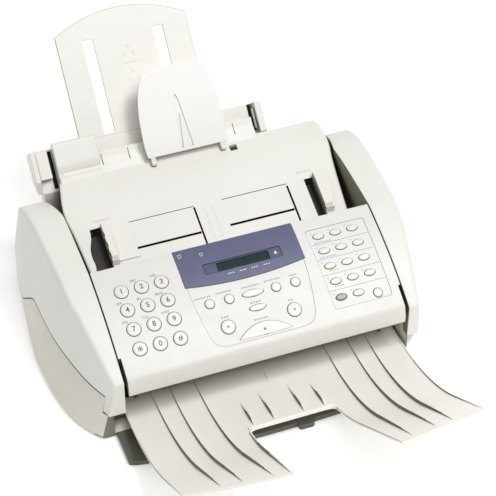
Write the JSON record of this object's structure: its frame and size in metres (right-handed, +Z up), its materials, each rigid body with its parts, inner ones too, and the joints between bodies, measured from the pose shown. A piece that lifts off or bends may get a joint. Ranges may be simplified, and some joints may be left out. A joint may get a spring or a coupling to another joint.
{
  "type": "fax machine",
  "caption": "Desktop fax machine with curved key panel, small display, leaning sheet feeder, document rest and scooped output tray",
  "frame": {"origin": "centre of the whole machine's bounding box at the level of its feet", "axes": "+X to the right of someone facing the panel, +Y to the back, +Z up"},
  "size_m": [0.402, 0.5488, 0.2377],
  "materials": {
    "cover_plastic": "fine textured ivory",
    "panel_plastic": "smooth ivory",
    "base_plastic": "textured beige",
    "tray_plastic": "satin ivory",
    "white_plastic": "satin white",
    "key_plastic": "satin off-white",
    "grey_key": "satin grey",
    "display_film": "slate blue film",
    "lcd_window": "dark green clear window",
    "black_rubber": "matt",
    "steel": "bright",
    "dark_plastic": "black",
    "circuit_board": "green solder mask"
  },
  "bodies": {
    "machine": {"base_case": "base_plastic", "left_side_cover": "cover_plastic", "right_side_cover": "cover_plastic", "sheet_feeder": "cover_plastic", "jack_panel": "dark_plastic", "carriage_rod": "steel", "platen": "dark_plastic", "main_board": "circuit_board", "power_supply": "steel"},
    "upper_unit": {"top_cover": "cover_plastic"},
    "panel": {"operation_panel": "panel_plastic", "display_plate": "display_film", "lcd_module": "lcd_window", "key_mat": "black_rubber"},
    "document_guide_left": {"left_document_guide": "cover_plastic"},
    "document_guide_right": {"right_document_guide": "cover_plastic"},
    "document_rest": {"document_support": "white_plastic"},
    "paper_rest": {"paper_support": "cover_plastic"},
    "paper_stop": {"paper_guide": "cover_plastic"},
    "tray": {"output_tray": "tray_plastic"},
    "carriage": {"ink_carriage": "dark_plastic"},
    "pickup": {"pickup_roller": "black_rubber"},
    "exit": {"exit_roller": "black_rubber"},
    "document_feed": {"document_roller": "black_rubber"},
    "key_1_cap": {"key_1": "key_plastic"},
    "key_2_cap": {"key_2": "key_plastic"},
    "key_3_cap": {"key_3": "key_plastic"},
    "key_4_cap": {"key_4": "key_plastic"},
    "key_5_cap": {"key_5": "key_plastic"},
    "key_6_cap": {"key_6": "key_plastic"},
    "key_7_cap": {"key_7": "key_plastic"},
    "key_8_cap": {"key_8": "key_plastic"},
    "key_9_cap": {"key_9": "key_plastic"},
    "key_star_cap": {"key_star": "key_plastic"},
    "key_0_cap": {"key_0": "key_plastic"},
    "key_hash_cap": {"key_hash": "key_plastic"},
    "key_receive_mode_cap": {"key_receive_mode": "key_plastic"},
    "key_memory_cap": {"key_memory": "key_plastic"},
    "key_redial_cap": {"key_redial": "key_plastic"},
    "key_pause_cap": {"key_pause": "key_plastic"},
    "key_function_cap": {"key_function": "key_plastic"},
    "key_resolution_cap": {"key_resolution": "key_plastic"},
    "key_copy_cap": {"key_copy": "key_plastic"},
    "key_stop_cap": {"key_stop": "key_plastic"},
    "key_start_cap": {"key_start": "key_plastic"},
    "one_touch_01_cap": {"one_touch_01": "key_plastic"},
    "one_touch_02_cap": {"one_touch_02": "key_plastic"},
    "one_touch_03_cap": {"one_touch_03": "key_plastic"},
    "one_touch_04_cap": {"one_touch_04": "key_plastic"},
    "one_touch_05_cap": {"one_touch_05": "key_plastic"},
    "one_touch_06_cap": {"one_touch_06": "key_plastic"},
    "one_touch_07_cap": {"one_touch_07": "key_plastic"},
    "one_touch_08_cap": {"one_touch_08": "key_plastic"},
    "one_touch_09_cap": {"one_touch_09": "key_plastic"},
    "one_touch_10_cap": {"one_touch_10": "key_plastic"},
    "one_touch_11_cap": {"one_touch_11": "key_plastic"},
    "one_touch_12_cap": {"one_touch_12": "key_plastic"},
    "one_touch_13_cap": {"one_touch_13": "grey_key"},
    "one_touch_14_cap": {"one_touch_14": "key_plastic"},
    "key_speaker_cap": {"key_speaker": "key_plastic"}
  },
  "joints": [
    {"name": "upper_unit_hinge", "type": "hinge", "parent": "machine", "child": "upper_unit", "pos_m": [0, -0.0731, 0.058], "axis": [1, 0, 0], "range_deg": [0, 35]},
    {"name": "panel_hinge", "type": "hinge", "parent": "upper_unit", "child": "panel", "pos_m": [0, 0.0089, 0.106], "axis": [-1, 0, 0], "range_deg": [0, 30]},
    {"name": "document_guide_left_slide", "type": "slide", "parent": "upper_unit", "child": "document_guide_left", "axis": [1, 0, 0], "range_m": [0, 0.035]},
    {"name": "document_guide_right_slide", "type": "slide", "parent": "upper_unit", "child": "document_guide_right", "axis": [-1, 0, 0], "range_m": [0, 0.035]},
    {"name": "document_support_fold", "type": "hinge", "parent": "upper_unit", "child": "document_rest", "pos_m": [0, 0.1414, 0.1316], "axis": [1, 0, 0], "range_deg": [0, 140]},
    {"name": "paper_support_slide", "type": "slide", "parent": "machine", "child": "paper_rest", "axis": [0, -0.682, -0.7314], "range_m": [0, 0.06]},
    {"name": "paper_guide_slide", "type": "slide", "parent": "machine", "child": "paper_stop", "axis": [1, 0, 0], "range_m": [0, 0.1]},
    {"name": "tray_slide", "type": "slide", "parent": "machine", "child": "tray", "axis": [0, -1, 0], "range_m": [0, 0.02]},
    {"name": "carriage_slide", "type": "slide", "parent": "machine", "child": "carriage", "axis": [1, 0, 0], "range_m": [-0.08, 0.08]},
    {"name": "pickup_spin", "type": "hinge", "parent": "machine", "child": "pickup", "pos_m": [0, 0.1289, 0.104], "axis": [1, 0, 0], "continuous": true},
    {"name": "exit_spin", "type": "hinge", "parent": "machine", "child": "exit", "pos_m": [0, -0.0531, 0.0345], "axis": [1, 0, 0], "continuous": true},
    {"name": "document_feed_spin", "type": "hinge", "parent": "upper_unit", "child": "document_feed", "pos_m": [0, 0.0089, 0.09], "axis": [1, 0, 0], "continuous": true},
    {"name": "key_1_press", "type": "slide", "parent": "panel", "child": "key_1_cap", "axis": [0, 0.327, -0.945], "range_m": [0, 0.0015], "stiffness_N_per_m": 250, "springref_m": -0.0004},
    {"name": "key_2_press", "type": "slide", "parent": "panel", "child": "key_2_cap", "axis": [0, 0.327, -0.945], "range_m": [0, 0.0015], "stiffness_N_per_m": 250, "springref_m": -0.0004},
    {"name": "key_3_press", "type": "slide", "parent": "panel", "child": "key_3_cap", "axis": [0, 0.327, -0.945], "range_m": [0, 0.0015], "stiffness_N_per_m": 250, "springref_m": -0.0004},
    {"name": "key_4_press", "type": "slide", "parent": "panel", "child": "key_4_cap", "axis": [0, 0.3818, -0.9242], "range_m": [0, 0.0015], "stiffness_N_per_m": 250, "springref_m": -0.0004},
    {"name": "key_5_press", "type": "slide", "parent": "panel", "child": "key_5_cap", "axis": [0, 0.3818, -0.9242], "range_m": [0, 0.0015], "stiffness_N_per_m": 250, "springref_m": -0.0004},
    {"name": "key_6_press", "type": "slide", "parent": "panel", "child": "key_6_cap", "axis": [0, 0.3818, -0.9242], "range_m": [0, 0.0015], "stiffness_N_per_m": 250, "springref_m": -0.0004},
    {"name": "key_7_press", "type": "slide", "parent": "panel", "child": "key_7_cap", "axis": [0, 0.4353, -0.9003], "range_m": [0, 0.0015], "stiffness_N_per_m": 250, "springref_m": -0.0004},
    {"name": "key_8_press", "type": "slide", "parent": "panel", "child": "key_8_cap", "axis": [0, 0.4353, -0.9003], "range_m": [0, 0.0015], "stiffness_N_per_m": 250, "springref_m": -0.0004},
    {"name": "key_9_press", "type": "slide", "parent": "panel", "child": "key_9_cap", "axis": [0, 0.4353, -0.9003], "range_m": [0, 0.0015], "stiffness_N_per_m": 250, "springref_m": -0.0004},
    {"name": "key_star_press", "type": "slide", "parent": "panel", "child": "key_star_cap", "axis": [0, 0.4874, -0.8732], "range_m": [0, 0.0015], "stiffness_N_per_m": 250, "springref_m": -0.0004},
    {"name": "key_0_press", "type": "slide", "parent": "panel", "child": "key_0_cap", "axis": [0, 0.4874, -0.8732], "range_m": [0, 0.0015], "stiffness_N_per_m": 250, "springref_m": -0.0004},
    {"name": "key_hash_press", "type": "slide", "parent": "panel", "child": "key_hash_cap", "axis": [0, 0.4874, -0.8732], "range_m": [0, 0.0015], "stiffness_N_per_m": 250, "springref_m": -0.0004},
    {"name": "key_receive_mode_press", "type": "slide", "parent": "panel", "child": "key_receive_mode_cap", "axis": [0, 0.421, -0.9071], "range_m": [0, 0.0015], "stiffness_N_per_m": 250, "springref_m": -0.0004},
    {"name": "key_memory_press", "type": "slide", "parent": "panel", "child": "key_memory_cap", "axis": [0, 0.421, -0.9071], "range_m": [0, 0.0015], "stiffness_N_per_m": 250, "springref_m": -0.0004},
    {"name": "key_redial_press", "type": "slide", "parent": "panel", "child": "key_redial_cap", "axis": [0, 0.421, -0.9071], "range_m": [0, 0.0015], "stiffness_N_per_m": 250, "springref_m": -0.0004},
    {"name": "key_pause_press", "type": "slide", "parent": "panel", "child": "key_pause_cap", "axis": [0, 0.421, -0.9071], "range_m": [0, 0.0015], "stiffness_N_per_m": 250, "springref_m": -0.0004},
    {"name": "key_function_press", "type": "slide", "parent": "panel", "child": "key_function_cap", "axis": [0, 0.421, -0.9071], "range_m": [0, 0.0015], "stiffness_N_per_m": 250, "springref_m": -0.0004},
    {"name": "key_resolution_press", "type": "slide", "parent": "panel", "child": "key_resolution_cap", "axis": [0, 0.461, -0.8874], "range_m": [0, 0.0015], "stiffness_N_per_m": 250, "springref_m": -0.0004},
    {"name": "key_copy_press", "type": "slide", "parent": "panel", "child": "key_copy_cap", "axis": [0, 0.4904, -0.8715], "range_m": [0, 0.0015], "stiffness_N_per_m": 250, "springref_m": -0.0004},
    {"name": "key_stop_press", "type": "slide", "parent": "panel", "child": "key_stop_cap", "axis": [0, 0.4904, -0.8715], "range_m": [0, 0.0015], "stiffness_N_per_m": 250, "springref_m": -0.0004},
    {"name": "key_start_press", "type": "slide", "parent": "panel", "child": "key_start_cap", "axis": [0, 0.529, -0.8486], "range_m": [0, 0.0015], "stiffness_N_per_m": 250, "springref_m": -0.0004},
    {"name": "one_touch_01_press", "type": "slide", "parent": "panel", "child": "one_touch_01_cap", "axis": [0, 0.31, -0.9507], "range_m": [0, 0.0015], "stiffness_N_per_m": 250, "springref_m": -0.0004},
    {"name": "one_touch_02_press", "type": "slide", "parent": "panel", "child": "one_touch_02_cap", "axis": [0, 0.31, -0.9507], "range_m": [0, 0.0015], "stiffness_N_per_m": 250, "springref_m": -0.0004},
    {"name": "one_touch_03_press", "type": "slide", "parent": "panel", "child": "one_touch_03_cap", "axis": [0, 0.31, -0.9507], "range_m": [0, 0.0015], "stiffness_N_per_m": 250, "springref_m": -0.0004},
    {"name": "one_touch_04_press", "type": "slide", "parent": "panel", "child": "one_touch_04_cap", "axis": [0, 0.3565, -0.9343], "range_m": [0, 0.0015], "stiffness_N_per_m": 250, "springref_m": -0.0004},
    {"name": "one_touch_05_press", "type": "slide", "parent": "panel", "child": "one_touch_05_cap", "axis": [0, 0.3565, -0.9343], "range_m": [0, 0.0015], "stiffness_N_per_m": 250, "springref_m": -0.0004},
    {"name": "one_touch_06_press", "type": "slide", "parent": "panel", "child": "one_touch_06_cap", "axis": [0, 0.3565, -0.9343], "range_m": [0, 0.0015], "stiffness_N_per_m": 250, "springref_m": -0.0004},
    {"name": "one_touch_07_press", "type": "slide", "parent": "panel", "child": "one_touch_07_cap", "axis": [0, 0.402, -0.9156], "range_m": [0, 0.0015], "stiffness_N_per_m": 250, "springref_m": -0.0004},
    {"name": "one_touch_08_press", "type": "slide", "parent": "panel", "child": "one_touch_08_cap", "axis": [0, 0.402, -0.9156], "range_m": [0, 0.0015], "stiffness_N_per_m": 250, "springref_m": -0.0004},
    {"name": "one_touch_09_press", "type": "slide", "parent": "panel", "child": "one_touch_09_cap", "axis": [0, 0.402, -0.9156], "range_m": [0, 0.0015], "stiffness_N_per_m": 250, "springref_m": -0.0004},
    {"name": "one_touch_10_press", "type": "slide", "parent": "panel", "child": "one_touch_10_cap", "axis": [0, 0.4466, -0.8947], "range_m": [0, 0.0015], "stiffness_N_per_m": 250, "springref_m": -0.0004},
    {"name": "one_touch_11_press", "type": "slide", "parent": "panel", "child": "one_touch_11_cap", "axis": [0, 0.4466, -0.8947], "range_m": [0, 0.0015], "stiffness_N_per_m": 250, "springref_m": -0.0004},
    {"name": "one_touch_12_press", "type": "slide", "parent": "panel", "child": "one_touch_12_cap", "axis": [0, 0.4466, -0.8947], "range_m": [0, 0.0015], "stiffness_N_per_m": 250, "springref_m": -0.0004},
    {"name": "one_touch_13_press", "type": "slide", "parent": "panel", "child": "one_touch_13_cap", "axis": [0, 0.4902, -0.8716], "range_m": [0, 0.0015], "stiffness_N_per_m": 250, "springref_m": -0.0004},
    {"name": "one_touch_14_press", "type": "slide", "parent": "panel", "child": "one_touch_14_cap", "axis": [0, 0.4902, -0.8716], "range_m": [0, 0.0015], "stiffness_N_per_m": 250, "springref_m": -0.0004},
    {"name": "key_speaker_press", "type": "slide", "parent": "panel", "child": "key_speaker_cap", "axis": [0, 0.5026, -0.8645], "range_m": [0, 0.0015], "stiffness_N_per_m": 250, "springref_m": -0.0004}
  ],
  "couplings": [
    {"joint": "document_guide_right_slide", "follows": "document_guide_left_slide", "ratio": 1}
  ]
}
